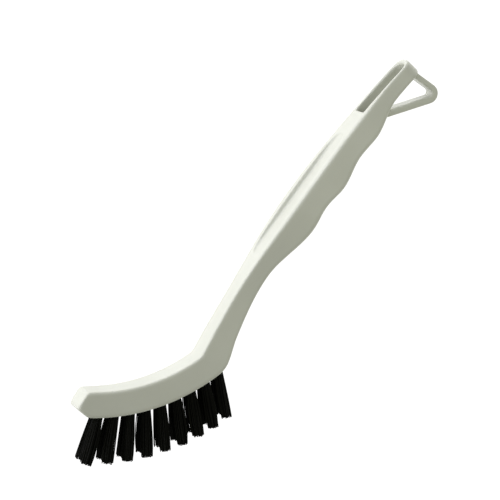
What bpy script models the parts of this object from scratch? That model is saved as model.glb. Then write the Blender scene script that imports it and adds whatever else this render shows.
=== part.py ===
"""A hand brush for cleaning pads and joints, lying on its side.

One moulded handle has a curved head, a neck, a grip with three finger swells, a slotted tail
and a hanging loop. Tufts of bristle are folded into blind holes in the head, and a flat metal
anchor across each fold holds it there.

Metres. +X runs from the nose to the tail, +Y towards the back of the handle, and +Z across it.
The origin is in the middle of the box round the brush, on the plane that it lies on.
"""

import math
import random

import bmesh
import bpy
import numpy as np
from mathutils import Matrix, Vector

# Back edge of the handle, seen from the side: three arcs that run into each other.
HEAD_LENGTH = 0.0536
HEAD_BACK_RADIUS = 0.0812
ELBOW_RADIUS = 0.007
ELBOW_BEND = 28.0
HANDLE_LENGTH = 0.1637
HANDLE_BEND = 15.26

# Thickness under the back edge.
HEAD_THICKNESS = 0.0121
HEEL_THICKNESS = 0.0131
NECK_START_THICKNESS = 0.0109
WAIST_THICKNESS = 0.0085
FIRST_SWELL_THICKNESS = 0.0134
SECOND_SWELL_THICKNESS = 0.0137
THIRD_SWELL_THICKNESS = 0.0120
FIRST_HOLLOW_THICKNESS = 0.0123
SECOND_HOLLOW_THICKNESS = 0.0114
TAIL_THICKNESS = 0.0077
TAIL_END_THICKNESS = 0.0076

# Width across the handle.
HEAD_WIDTH = 0.0179
NECK_WIDTH = 0.0160
PALM_WIDTH = 0.0264
SHOULDER_WIDTH = 0.0203
TAIL_WIDTH = 0.0159
EDGE_RADIUS = 0.0020

# Places along the back edge, each measured from the one before.
NECK_START = 0.0140
NARROW_FROM_ELBOW = 0.0290
WAIST_FROM_ELBOW = 0.0447
WAIST_TO_SWELL = 0.0301
SWELL_TO_HOLLOW = 0.0120
HOLLOW_TO_SWELL = 0.0120
SWELL_TO_LAST_HOLLOW = 0.0165
LAST_HOLLOW_TO_SWELL = 0.0112
SWELL_TO_PALM = 0.0040
PALM_FLAT = 0.0090
SWELL_TO_TAIL = 0.0200

# Nose: two bevels that meet in a blunt point ahead of the head.
NOSE_REACH = 0.0033
NOSE_UNDERCUT = 0.0011
NOSE_DEPTH = 0.0077
NOSE_TIP = 0.0014
NOSE_CORNER = 0.0015

# Thumb rest: a shallow scoop with steep walls in the back of the grip.
REST_START = 0.0520
REST_LENGTH = 0.0670
REST_WIDTH = 0.0190
REST_DEPTH = 0.0015
REST_WALL = 0.0005

# Slot through the tail, with thin walls beside it and a thicker one at its end.
SLOT_LENGTH = 0.0293
SIDE_WALL = 0.0018
END_WALL = 0.0025
SLOT_CORNER = 0.0015
END_SQUARENESS = 3.0

# Hanging loop under the tail: a strap with two straight legs and one round corner.
LOOP_DROP = 0.0240
LOOP_LEAN = 0.0030
LOOP_END_THICKNESS = 0.0028
LOOP_GRIP_THICKNESS = 0.0035
LOOP_WIDTH = 0.0095
LOOP_CORNER = 0.0032
LOOP_EDGE = 0.0008
LOOP_ROOT = 0.0050

# Tufts: columns along the head, rows across it.
TUFT_COLUMNS = 9
TUFT_START = 0.0057
TUFT_HEEL_GAP = 0.0045
ROW_OFFSET = 0.0039
ROW_SPLAY = 5.5
TUFT_ANGLE_NOSE = 62.4
TUFT_ANGLE_MIDDLE = 41.7
TUFT_ANGLE_HEEL = 35.8
TUFT_DIAMETER = 0.0044
TUFT_REACH_NOSE = 0.0218
TUFT_REACH_HEEL = 0.0208
HOLE_DEPTH = 0.0070
CLEARANCE = 0.0003
STRANDS = 22
STRAND_WIDTH = 0.00042
STRAND_SPREAD = 1.20
STRAND_RAGGED = 0.0008

# Anchors: cut pieces of flat wire, set across the holes at a slant.
ANCHOR_THICKNESS = 0.0004
ANCHOR_HEIGHT = 0.0016
ANCHOR_BITE = 0.0006
ANCHOR_LIFT = 0.0016
ANCHOR_SLANT = 45.0

# Fineness of the faceted shapes.
STEP = 0.0030
FINE_STEP = 0.0008
CORNER_STEPS = 4
END_STEPS = 9
REST_STEPS = 24
HOLE_SIDES = 16
UNDERSIDE_SAMPLES = 400

HEAD_BEND = math.degrees(HEAD_LENGTH / HEAD_BACK_RADIUS)
ELBOW_LENGTH = ELBOW_RADIUS * math.radians(ELBOW_BEND)
ELBOW_END = HEAD_LENGTH + ELBOW_LENGTH
TAIL_END = ELBOW_END + HANDLE_LENGTH
NOSE_SLOPE = HANDLE_BEND - ELBOW_BEND - HEAD_BEND
TAIL_ROUND_CENTRE = TAIL_END - TAIL_WIDTH / 2
WAIST = ELBOW_END + WAIST_FROM_ELBOW
FIRST_SWELL = WAIST + WAIST_TO_SWELL
FIRST_HOLLOW = FIRST_SWELL + SWELL_TO_HOLLOW
SECOND_SWELL = FIRST_HOLLOW + HOLLOW_TO_SWELL
SECOND_HOLLOW = SECOND_SWELL + SWELL_TO_LAST_HOLLOW
THIRD_SWELL = SECOND_HOLLOW + LAST_HOLLOW_TO_SWELL
PALM_START = FIRST_SWELL + SWELL_TO_PALM
TAIL_START = THIRD_SWELL + SWELL_TO_TAIL
HOLE_RADIUS = TUFT_DIAMETER / 2 + CLEARANCE
ACROSS = Vector((0, 0, 1))


def monotone_curve(knots):
    """A smooth function through (place, value) knots that never overshoots between two of them."""
    places = np.array([place for place, _ in knots])
    values = np.array([value for _, value in knots])
    gaps = np.diff(places)
    slopes = np.diff(values) / gaps
    tangents = np.zeros(len(knots))
    for i in range(1, len(knots) - 1):
        if slopes[i - 1] * slopes[i] > 0:
            before = gaps[i - 1] + 2 * gaps[i]
            after = 2 * gaps[i - 1] + gaps[i]
            tangents[i] = (before + after) / (before / slopes[i - 1] + after / slopes[i])

    def value_at(place):
        i = int(np.clip(np.searchsorted(places, place) - 1, 0, len(gaps) - 1))
        t = float(np.clip((place - places[i]) / gaps[i], 0, 1))
        ease = t * t * (3 - 2 * t)
        start_pull = t * (1 - t) ** 2 * gaps[i] * tangents[i]
        end_pull = t * t * (1 - t) * gaps[i] * tangents[i + 1]
        return float(values[i] + (values[i + 1] - values[i]) * ease + start_pull - end_pull)

    return value_at


thickness_at = monotone_curve([
    (0.0, HEAD_THICKNESS),
    (HEAD_LENGTH, HEAD_THICKNESS),
    (ELBOW_END, HEEL_THICKNESS),
    (ELBOW_END + NECK_START, NECK_START_THICKNESS),
    (WAIST, WAIST_THICKNESS),
    (FIRST_SWELL, FIRST_SWELL_THICKNESS),
    (FIRST_HOLLOW, FIRST_HOLLOW_THICKNESS),
    (SECOND_SWELL, SECOND_SWELL_THICKNESS),
    (SECOND_HOLLOW, SECOND_HOLLOW_THICKNESS),
    (THIRD_SWELL, THIRD_SWELL_THICKNESS),
    (TAIL_START, TAIL_THICKNESS),
    (TAIL_END, TAIL_END_THICKNESS),
])

width_at = monotone_curve([
    (0.0, HEAD_WIDTH),
    (HEAD_LENGTH, HEAD_WIDTH),
    (ELBOW_END + NARROW_FROM_ELBOW, NECK_WIDTH),
    (PALM_START, PALM_WIDTH),
    (PALM_START + PALM_FLAT, PALM_WIDTH),
    (THIRD_SWELL, SHOULDER_WIDTH),
    (TAIL_ROUND_CENTRE, TAIL_WIDTH),
])


def back_edge(place):
    """Point on the back edge, and its slope, at a distance along it from the nose's upper corner."""
    x, y, slope = 0.0, 0.0, math.radians(NOSE_SLOPE)
    arcs = [(HEAD_LENGTH, HEAD_BEND), (ELBOW_LENGTH, ELBOW_BEND), (HANDLE_LENGTH, -HANDLE_BEND)]
    for number, (length, bend) in enumerate(arcs):
        last = number == len(arcs) - 1
        run = place if last else min(place, length)
        curvature = math.radians(bend) / length
        end_slope = slope + curvature * run
        x += (math.sin(end_slope) - math.sin(slope)) / curvature
        y -= (math.cos(end_slope) - math.cos(slope)) / curvature
        slope = end_slope
        place -= run
        if place <= 0:
            break
    return Vector((x, y, 0)), slope


def below_back(place, depth):
    """Point at a depth square to the back edge."""
    point, slope = back_edge(place)
    return point + depth * Vector((math.sin(slope), -math.cos(slope), 0))


def soft_ramp(distance, softness):
    """Zero before a corner and the distance past it, with the corner itself rounded."""
    return (distance + math.hypot(distance, softness)) / 2


def round_off(distance, radius):
    """How far a rounded corner falls back at a distance from its end."""
    if distance >= radius:
        return 0.0
    return radius - math.sqrt(radius**2 - (radius - distance) ** 2)


def rounded_section(top, bottom, width, radius):
    """A rounded rectangle's points (depth, offset across), one each on the middle of its two ends."""
    radius = min(radius, 0.45 * (bottom - top), 0.45 * width)
    half = width / 2
    corners = [
        (top + radius, half - radius, 180),
        (bottom - radius, half - radius, 90),
        (bottom - radius, radius - half, 0),
        (top + radius, radius - half, -90),
    ]
    points = [(top, 0.0)]
    for number, (depth, offset, start) in enumerate(corners):
        if number == 2:
            points.append((bottom, 0.0))
        for step in range(CORNER_STEPS + 1):
            angle = math.radians(start - 90 * step / CORNER_STEPS)
            points.append((depth + radius * math.cos(angle), offset + radius * math.sin(angle)))
    return points


def loft(rings, closed=True):
    """A mesh through rings of as many points each, with a face over both ends if they are open."""
    bm = bmesh.new()
    loops = [[bm.verts.new(point) for point in ring] for ring in rings]
    count = len(loops[0])
    for near, far in zip(loops, loops[1:]):
        for i in range(count):
            bm.faces.new((near[i], near[(i + 1) % count], far[(i + 1) % count], far[i]))
    bm.faces.new(loops[0])
    if closed:
        bm.faces.new(loops[-1])
    bmesh.ops.remove_doubles(bm, verts=bm.verts, dist=1e-7)
    bmesh.ops.recalc_face_normals(bm, faces=bm.faces)
    return bm


def add_object(name, bm, material, collection):
    """An object from a bmesh, in a collection."""
    mesh = bpy.data.meshes.new(name)
    bm.to_mesh(mesh)
    bm.free()
    if material:
        mesh.materials.append(material)
    mesh.shade_smooth()
    mesh.set_sharp_from_angle(angle=math.radians(35))
    obj = bpy.data.objects.new(name, mesh)
    collection.objects.link(obj)
    return obj


def add_cutter(name, bm):
    """An object that only cuts or joins another."""
    obj = add_object(name, bm, None, cutters)
    obj.hide_render = True
    obj.display_type = "WIRE"
    return obj


def combine(target, operation, other):
    """A Boolean of the target with another object."""
    modifier = target.modifiers.new(f"{operation.lower()} {other.name}", "BOOLEAN")
    modifier.operation = operation
    modifier.solver = "EXACT"
    modifier.object = other


def make_material(name, colour, roughness, metallic):
    material = bpy.data.materials.new(name)
    material.use_nodes = True
    shader = material.node_tree.nodes["Principled BSDF"]
    shader.inputs["Base Color"].default_value = (*colour, 1)
    shader.inputs["Roughness"].default_value = roughness
    shader.inputs["Metallic"].default_value = metallic
    return material


def nose_rings():
    """Sections of the nose, which opens from its blunt point to the full head."""
    rings = []
    steps = round((NOSE_REACH + NOSE_UNDERCUT + FINE_STEP) / FINE_STEP)
    upper_fall = (NOSE_DEPTH - NOSE_TIP / 2) / NOSE_REACH
    lower_rise = (HEAD_THICKNESS - NOSE_DEPTH - NOSE_TIP / 2) / (NOSE_REACH + NOSE_UNDERCUT)
    for step in range(steps):
        place = -NOSE_REACH + step * FINE_STEP
        top = upper_fall * soft_ramp(-place, FINE_STEP)
        bottom = HEAD_THICKNESS - lower_rise * soft_ramp(NOSE_UNDERCUT - place, FINE_STEP)
        width = HEAD_WIDTH - 2 * round_off(place + NOSE_REACH, NOSE_CORNER)
        rings.append(ring_at(place, rounded_section(top, bottom, width, EDGE_RADIUS)))
    return rings


def ring_at(place, section):
    return [below_back(place, depth) + offset * ACROSS for depth, offset in section]


def body_places():
    """Where the sections of the handle's body lie: close together where the shape turns fast."""
    stops = [
        (NOSE_UNDERCUT + 3 * FINE_STEP, HEAD_LENGTH, STEP),
        (HEAD_LENGTH, ELBOW_END + NECK_START, FINE_STEP),
        (ELBOW_END + NECK_START, TAIL_ROUND_CENTRE, STEP),
    ]
    places = []
    for start, end, step in stops:
        count = max(1, math.ceil((end - start) / step))
        places += [start + (end - start) * i / count for i in range(count)]
    return places + [TAIL_ROUND_CENTRE]


def oval_end(turn):
    """How far forward and across a point lies on a squarish round end: the two shares of its radius."""
    power = 2 / END_SQUARENESS
    return abs(math.sin(turn)) ** power, math.copysign(abs(math.cos(turn)) ** power, math.cos(turn))


def tail_end_rings():
    """The tail's end: its section swept round to the middle, along a squarish oval."""
    _, slope = back_edge(TAIL_ROUND_CENTRE)
    along = Vector((math.cos(slope), math.sin(slope), 0))
    section = rounded_section(0.0, thickness_at(TAIL_ROUND_CENTRE), TAIL_WIDTH, EDGE_RADIUS)
    rings = []
    for step in range(1, END_STEPS + 1):
        forward, across = oval_end(math.radians(90 * step / END_STEPS))
        ring = []
        for depth, offset in section:
            point = below_back(TAIL_ROUND_CENTRE, depth)
            ring.append(point + abs(offset) * forward * along + offset * across * ACROSS)
        rings.append(ring)
    return rings


def make_handle(material, collection):
    """The moulding, before its holes: nose, head, elbow, neck, grip and tail in one loft."""
    rings = nose_rings()
    for place in body_places():
        section = rounded_section(0.0, thickness_at(place), width_at(place), EDGE_RADIUS)
        rings.append(ring_at(place, section))
    rings += tail_end_rings()
    return add_object("handle", loft(rings, closed=False), material, collection)


def slot_cutter():
    """A prism through the tail: rounded corners towards the grip, and an end like the tail's own."""
    half = TAIL_WIDTH / 2 - SIDE_WALL
    end = back_edge(TAIL_END)[0].x - END_WALL
    start = end - SLOT_LENGTH
    outline = []
    for step in range(2 * END_STEPS + 1):
        forward, across = oval_end(math.radians(180 - 90 * step / END_STEPS))
        outline.append((end - half + half * forward, half * across))
    for side in (1, -1):
        for step in range(CORNER_STEPS + 1):
            share = step / CORNER_STEPS
            angle = math.radians(90 * share if side > 0 else 90 * (1 - share))
            x = start + SLOT_CORNER * (1 - math.sin(angle))
            z = side * (half - SLOT_CORNER + SLOT_CORNER * math.cos(angle))
            outline.append((x, z))
    level = back_edge(TAIL_END)[0].y
    heights = (level + TAIL_THICKNESS, level - 3 * TAIL_THICKNESS)
    return add_cutter("slot_cutter", loft([[Vector((x, y, z)) for x, z in outline] for y in heights]))


def thumb_rest_cutter():
    """A long oval with a flat floor, deepest in the middle of its length."""
    rings = []
    for step in range(1, REST_STEPS):
        along = -math.cos(math.pi * step / REST_STEPS)
        place = ELBOW_END + REST_START + REST_LENGTH * (1 + along) / 2
        half = REST_WIDTH / 2 * (1 - along**4) ** 0.5
        depth = REST_DEPTH * (1 - along**2) ** 0.5
        brim = half + REST_WALL
        floor = half - min(REST_WALL * depth / REST_DEPTH, half / 2)
        section = [(-REST_DEPTH, -brim), (-REST_DEPTH, brim), (depth, floor), (depth, -floor)]
        rings.append(ring_at(place, section))
    return add_cutter("thumb_rest_cutter", loft(rings))


def loop_path():
    """Middle line of the loop's strap, from inside the tail's end, round the corner, into the grip."""
    tail_end = back_edge(TAIL_END)[0]
    corner = tail_end + Vector((0, -LOOP_DROP, 0))
    end_root = tail_end + Vector((-LOOP_LEAN, -LOOP_ROOT, 0))
    slot_start = tail_end.x - END_WALL - SLOT_LENGTH
    grip_root = Vector((slot_start - LOOP_GRIP_THICKNESS / 2, tail_end.y - LOOP_ROOT, 0))
    to_end = (end_root - corner).normalized()
    to_grip = (grip_root - corner).normalized()
    half_angle = to_end.angle(to_grip) / 2
    inset = LOOP_CORNER / math.tan(half_angle)
    centre = corner + (to_end + to_grip).normalized() * LOOP_CORNER / math.sin(half_angle)
    path = [end_root]
    first = corner + to_end * inset - centre
    sweep = math.pi - 2 * half_angle
    for step in range(END_STEPS + 1):
        path.append(centre + Matrix.Rotation(-sweep * step / END_STEPS, 3, "Z") @ first)
    path.append(grip_root)
    return path


def make_loop():
    """The strap along its path, thicker towards the grip."""
    path = loop_path()
    rings = []
    for i, point in enumerate(path):
        half = (LOOP_END_THICKNESS + (LOOP_GRIP_THICKNESS - LOOP_END_THICKNESS) * i / (len(path) - 1)) / 2
        section = rounded_section(-half, half, LOOP_WIDTH, LOOP_EDGE)
        along = (path[min(i + 1, len(path) - 1)] - path[max(i - 1, 0)]).normalized()
        outward = ACROSS.cross(along)
        rings.append([point + depth * outward + offset * ACROSS for depth, offset in section])
    return add_cutter("hanging_loop", loft(rings))


def tuft_columns():
    """Where each column's hole opens in the underside, and its lean from straight down."""
    places = np.linspace(NOSE_UNDERCUT, ELBOW_END, UNDERSIDE_SAMPLES)
    points = [below_back(place, thickness_at(place)) for place in places]
    lengths = np.cumsum([0.0] + [(b - a).length for a, b in zip(points, points[1:])])
    row_length = lengths[-1] - TUFT_START - TUFT_HEEL_GAP
    columns = []
    for column in range(TUFT_COLUMNS):
        share = column / (TUFT_COLUMNS - 1)
        place = float(np.interp(TUFT_START + share * row_length, lengths, places))
        lean = (
            TUFT_ANGLE_NOSE * (1 - share) * (1 - 2 * share)
            + TUFT_ANGLE_MIDDLE * 4 * share * (1 - share)
            + TUFT_ANGLE_HEEL * share * (2 * share - 1)
        )
        reach = TUFT_REACH_NOSE + (TUFT_REACH_HEEL - TUFT_REACH_NOSE) * share
        columns.append((below_back(place, thickness_at(place)), math.radians(lean), reach))
    return columns


def hole_frames():
    """A frame for each hole: its origin at the mouth, +Z along the tuft, +X along the anchor."""
    frames = []
    for column, (mouth, lean, reach) in enumerate(tuft_columns(), start=1):
        for row, side in enumerate((1, -1), start=1):
            splay = math.radians(ROW_SPLAY) * side
            down = Vector((-math.sin(lean), -math.cos(lean), 0))
            axis = (down * math.cos(splay) + ACROSS * math.sin(splay)).normalized()
            along = (ACROSS.cross(axis)).normalized()
            other = axis.cross(along)
            slant = math.radians(ANCHOR_SLANT)
            wire = along * math.cos(slant) + other * math.sin(slant)
            turned = axis.cross(wire)
            frame = Matrix((wire, turned, axis)).transposed().to_4x4()
            frame.translation = mouth + side * ROW_OFFSET * ACROSS
            frames.append((f"c{column}_r{row}", frame, reach))
    return frames


def add_cylinder(bm, radius, bottom, top, sides):
    """A cylinder round the Z axis, from one height to another."""
    middle = Matrix.Translation((0, 0, (bottom + top) / 2))
    bmesh.ops.create_cone(
        bm, cap_ends=True, segments=sides, radius1=radius, radius2=radius, depth=top - bottom, matrix=middle
    )


def add_box(bm, size, middle):
    """A box of a size round a middle point."""
    bmesh.ops.create_cube(bm, size=1.0, matrix=Matrix.Translation(middle) @ Matrix.Diagonal((*size, 1)))


def anchor_box(gap):
    """Size and middle of the anchor's space in its hole, with a gap all round it."""
    size = (
        2 * (HOLE_RADIUS + ANCHOR_BITE + gap),
        ANCHOR_THICKNESS + 2 * gap,
        ANCHOR_HEIGHT + 2 * gap,
    )
    return size, (0, 0, -HOLE_DEPTH + ANCHOR_LIFT + ANCHOR_HEIGHT / 2)


def hole_cutter(frames):
    """All the blind holes of the head."""
    bm = bmesh.new()
    for _, frame, _ in frames:
        hole = bmesh.new()
        add_cylinder(hole, HOLE_RADIUS, -HOLE_DEPTH, HOLE_DEPTH, HOLE_SIDES)
        hole.transform(frame)
        append(bm, hole)
    return add_cutter("hole_cutter", bm)


def kerf_cutter(frames):
    """The cuts that the anchors' ends make in the walls of the holes."""
    bm = bmesh.new()
    for _, frame, _ in frames:
        kerf = bmesh.new()
        add_box(kerf, *anchor_box(CLEARANCE))
        kerf.transform(frame)
        append(bm, kerf)
    return add_cutter("kerf_cutter", bm)


def append(bm, other):
    """Adds a second bmesh to the first one."""
    mesh = bpy.data.meshes.new("joined")
    other.to_mesh(mesh)
    other.free()
    bm.from_mesh(mesh)
    bpy.data.meshes.remove(mesh)


def strand_places(number):
    """Where a tuft's strands stand, like a sunflower's seeds so that none cross, and their ends."""
    rng = random.Random(number)
    golden_turn = math.pi * (3 - math.sqrt(5))
    reach_out = TUFT_DIAMETER / 2 - STRAND_WIDTH
    strands = []
    for i in range(STRANDS):
        distance = reach_out * math.sqrt((i + 0.5) / STRANDS)
        x = distance * math.cos(i * golden_turn)
        y = distance * math.sin(i * golden_turn)
        strands.append((x, y, rng.uniform(-STRAND_RAGGED, STRAND_RAGGED)))
    return strands


def make_tuft(name, number, frame, reach, material, collection):
    """A tuft: the folded end that fills its hole, and the strands that stand out of it."""
    plug = bmesh.new()
    add_cylinder(plug, TUFT_DIAMETER / 2, CLEARANCE - HOLE_DEPTH, -CLEARANCE, HOLE_SIDES)
    tuft = add_object(f"tuft_{name}", plug, material, collection)

    window = bmesh.new()
    add_box(window, *anchor_box(CLEARANCE))
    window_cutter = add_cutter(f"window_{name}", window)

    strands = bmesh.new()
    for x, y, ragged in strand_places(number):
        root = Vector((x, y, -3 * CLEARANCE))
        tip = Vector((x * STRAND_SPREAD, y * STRAND_SPREAD, reach + ragged))
        middle = Matrix.Translation((root + tip) / 2)
        turn = (tip - root).to_track_quat("Z", "Y").to_matrix().to_4x4()
        radius = STRAND_WIDTH / math.sqrt(2)
        bmesh.ops.create_cone(
            strands, cap_ends=True, segments=4, radius1=radius, radius2=radius, depth=(tip - root).length,
            matrix=middle @ turn,
        )
    strand_group = add_cutter(f"strands_{name}", strands)

    combine(tuft, "DIFFERENCE", window_cutter)
    combine(tuft, "UNION", strand_group)
    for obj in (tuft, window_cutter, strand_group):
        obj.matrix_world = frame
    return tuft


def make_anchor(name, frame, material, collection):
    """A cut piece of flat wire, with its leading corners off so that it drives into the plastic."""
    size, middle = anchor_box(0.0)
    half = size[0] / 2
    low = middle[2] - size[2] / 2
    high = middle[2] + size[2] / 2
    outline = [(-half, high), (half, high), (half, low + ANCHOR_BITE), (half - ANCHOR_BITE, low),
               (ANCHOR_BITE - half, low), (-half, low + ANCHOR_BITE)]
    rings = [[Vector((x, y, z)) for x, z in outline] for y in (-ANCHOR_THICKNESS / 2, ANCHOR_THICKNESS / 2)]
    anchor = add_object(f"anchor_{name}", loft(rings), material, collection)
    anchor.matrix_world = frame
    return anchor


def stand_on_origin(objects, collection):
    """Hangs everything from an empty that puts the origin under the middle of the brush."""
    bpy.context.view_layer.update()
    graph = bpy.context.evaluated_depsgraph_get()
    corners = []
    for obj in objects:
        shape = obj.evaluated_get(graph)
        corners += [shape.matrix_world @ Vector(corner) for corner in shape.bound_box]
    low = [min(corner[axis] for corner in corners) for axis in range(3)]
    high = [max(corner[axis] for corner in corners) for axis in range(3)]
    base = bpy.data.objects.new("brush_base", None)
    collection.objects.link(base)
    base.location = (-(low[0] + high[0]) / 2, -(low[1] + high[1]) / 2, -low[2])
    for obj in [*objects, *cutters.objects]:
        obj.parent = base


for leftover in list(bpy.data.objects):
    bpy.data.objects.remove(leftover)

brush = bpy.data.collections.new("cleaning_brush")
cutters = bpy.data.collections.new("cutters")
for group in (brush, cutters):
    bpy.context.scene.collection.children.link(group)

plastic = make_material("moulded plastic", (0.68, 0.69, 0.60), 0.38, 0.0)
bristle = make_material("black bristle", (0.012, 0.012, 0.010), 0.45, 0.0)
wire = make_material("anchor wire", (0.56, 0.55, 0.52), 0.35, 1.0)

holes = hole_frames()
handle = make_handle(plastic, brush)
combine(handle, "DIFFERENCE", slot_cutter())
combine(handle, "DIFFERENCE", thumb_rest_cutter())
combine(handle, "DIFFERENCE", hole_cutter(holes))
combine(handle, "DIFFERENCE", kerf_cutter(holes))
combine(handle, "UNION", make_loop())

pieces = [handle]
for index, (hole_name, hole_frame, hole_reach) in enumerate(holes):
    pieces.append(make_tuft(hole_name, index, hole_frame, hole_reach, bristle, brush))
    pieces.append(make_anchor(hole_name, hole_frame, wire, brush))

stand_on_origin(pieces, brush)
print(f"{len(pieces)} pieces, {STRANDS * len(holes)} strands in {len(holes)} tufts")
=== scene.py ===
# %% [markdown]
# A cleaning brush, dressed for its picture.
#
# The brush is one pale moulding with black bristle tufts. Its frame, which is loaded first, holds
# every solid at its real size and place. This script makes the surfaces that the eye sees: the
# moulding with its soft edges, each filament of each tuft, and the finish of the wire anchors.
# It works in metres, as the frame does, so that each new piece lands on the solid it stands for.

# %% Load the frame
import math

import bmesh
import bpy
import numpy as np
from mathutils import Matrix, Vector


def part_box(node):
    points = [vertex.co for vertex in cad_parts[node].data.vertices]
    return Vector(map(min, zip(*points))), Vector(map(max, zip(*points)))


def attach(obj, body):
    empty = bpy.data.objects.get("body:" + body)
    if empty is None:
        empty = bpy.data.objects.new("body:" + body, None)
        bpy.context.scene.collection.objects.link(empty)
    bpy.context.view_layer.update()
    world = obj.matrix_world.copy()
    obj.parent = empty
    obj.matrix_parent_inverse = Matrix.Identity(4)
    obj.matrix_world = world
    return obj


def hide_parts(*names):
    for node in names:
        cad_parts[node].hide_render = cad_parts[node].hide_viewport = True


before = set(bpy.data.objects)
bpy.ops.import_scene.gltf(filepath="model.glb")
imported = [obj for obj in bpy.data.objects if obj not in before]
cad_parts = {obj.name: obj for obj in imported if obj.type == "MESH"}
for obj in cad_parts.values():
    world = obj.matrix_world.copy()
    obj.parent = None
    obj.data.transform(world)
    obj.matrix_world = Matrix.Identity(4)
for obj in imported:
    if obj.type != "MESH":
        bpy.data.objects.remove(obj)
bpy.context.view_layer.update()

ACROSS = Vector((0, 0, 1))

# %% [markdown]
# The camera stands about a metre and a half above the brush, a little towards the back of the
# handle, so that the back edge shows as a light band above the side. It is rolled so that the
# brush climbs from the lower left to the upper right. A long lens keeps the outline true.
# Blender can turn a camera by three angles in a row, but then each one shifts what the next one
# means. Here the angles give the camera's own three axes, which are put together as a rotation.

# %% Camera
CAMERA_TILT = math.radians(16.35)
CAMERA_SWING = math.radians(5.15)
CAMERA_ROLL = math.radians(47.29)
CAMERA_DISTANCE = 1.451
CAMERA_AIM = Vector((0.00524, 0.01725, 0.01475))
FRAME_HEIGHT = 0.22685
SENSOR = 36.0

along = Vector((math.cos(CAMERA_SWING),
                math.sin(CAMERA_TILT) * math.sin(CAMERA_SWING),
                math.cos(CAMERA_TILT) * math.sin(CAMERA_SWING)))
backward = Vector((0, math.cos(CAMERA_TILT), -math.sin(CAMERA_TILT)))
towards_camera = along.cross(backward)
right = math.cos(CAMERA_ROLL) * along - math.sin(CAMERA_ROLL) * backward
up = math.sin(CAMERA_ROLL) * along + math.cos(CAMERA_ROLL) * backward

camera_data = bpy.data.cameras.new("camera")
camera_data.sensor_width = SENSOR
camera_data.lens = SENSOR * CAMERA_DISTANCE / FRAME_HEIGHT
camera = bpy.data.objects.new("camera", camera_data)
bpy.context.scene.collection.objects.link(camera)
rotation = Matrix((right, up, towards_camera)).transposed().to_4x4()
camera.matrix_world = Matrix.Translation(CAMERA_AIM + CAMERA_DISTANCE * towards_camera) @ rotation
bpy.context.scene.camera = camera
print("lens in mm:", round(camera_data.lens, 1))

# %% [markdown]
# The light is that of a white tent over a shining table. One long lamp, low on the side of the
# handle's back, makes the back edge much lighter than the side. Hung higher it would also light
# the slot in the tail, whose walls its low rays only skim. A small lamp over the tail lets the
# side fade towards the nose.

# %% Lamps
bpy.context.scene.view_settings.view_transform = "Standard"


def add_lamp(name, place, aim, width, height, power, colour):
    """A soft lamp of a width and height that points at a place."""
    data = bpy.data.lights.new(name, "AREA")
    data.shape = "RECTANGLE"
    data.size = width
    data.size_y = height
    data.energy = power
    data.color = colour
    lamp = bpy.data.objects.new(name, data)
    bpy.context.scene.collection.objects.link(lamp)
    lamp.location = place
    lamp.rotation_euler = (Vector(aim) - Vector(place)).to_track_quat("-Z", "Y").to_euler()
    print("lamp:", name, "power in watts:", power)


add_lamp("back lamp", place=(-0.10, 1.10, 0.11), aim=(0, 0, 0), width=2.0, height=0.2,
         power=12.2, colour=(0.87, 0.863, 0.965))
add_lamp("tail lamp", place=(0.14, -0.12, 0.45), aim=(0.08, 0, 0), width=0.3, height=0.3,
         power=0.31, colour=(0.98, 1.0, 0.81))

# %% [markdown]
# The sky gives the side its soft tone. It is dim, and a little brighter at the horizon than
# overhead, which a lamp can't do and a picture of a studio could. Here the height of each
# direction sets the strength instead. The camera has to see the sky as plain white, so a light
# path node gives full strength to the rays that come straight from the camera, and only to them.

# %% Sky
HORIZON_LIGHT = 0.444
ZENITH_LIGHT = 0.283
SKY_COLOUR = (0.99, 1.0, 0.965, 1)

world = bpy.data.worlds.new("studio")
world.use_nodes = True
sky = world.node_tree.nodes["Background"]
sky.inputs["Color"].default_value = SKY_COLOUR


def white_to_camera(tree, socket):
    """Makes a strength 1 for rays straight from the camera, and returns a socket for all others."""
    ray = tree.nodes.new("ShaderNodeLightPath")
    choice = tree.nodes.new("ShaderNodeMapRange")
    choice.inputs["To Max"].default_value = 1.0
    tree.links.new(ray.outputs["Is Camera Ray"], choice.inputs["Value"])
    tree.links.new(choice.outputs["Result"], socket)
    return choice.inputs["To Min"]


direction = world.node_tree.nodes.new("ShaderNodeTexCoord")
parts = world.node_tree.nodes.new("ShaderNodeSeparateXYZ")
fade = world.node_tree.nodes.new("ShaderNodeMapRange")
fade.inputs["To Min"].default_value = HORIZON_LIGHT
fade.inputs["To Max"].default_value = ZENITH_LIGHT
world.node_tree.links.new(direction.outputs["Generated"], parts.inputs["Vector"])
world.node_tree.links.new(parts.outputs["Z"], fade.inputs["Value"])
other_rays = white_to_camera(world.node_tree, sky.inputs["Strength"])
world.node_tree.links.new(fade.outputs["Result"], other_rays)
bpy.context.scene.world = world
print("sky, from horizon to zenith:", HORIZON_LIGHT, "to", ZENITH_LIGHT)

# %% [markdown]
# The brush lies on a wide table, a plain grid just under its lowest point. It gets its finish at
# the end.

# %% Ground
GROUND_SIZE = 8.0
GROUND_SQUARES = 8
GROUND_GAP = 0.0002

ground_mesh = bpy.data.meshes.new("ground")
bm = bmesh.new()
bmesh.ops.create_grid(bm, x_segments=GROUND_SQUARES, y_segments=GROUND_SQUARES, size=GROUND_SIZE / 2)
bm.to_mesh(ground_mesh)
bm.free()
ground = bpy.data.objects.new("ground", ground_mesh)
bpy.context.scene.collection.objects.link(ground)
ground.location.z = -GROUND_GAP
print("ground in metres:", GROUND_SIZE, "by", GROUND_SIZE)

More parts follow.
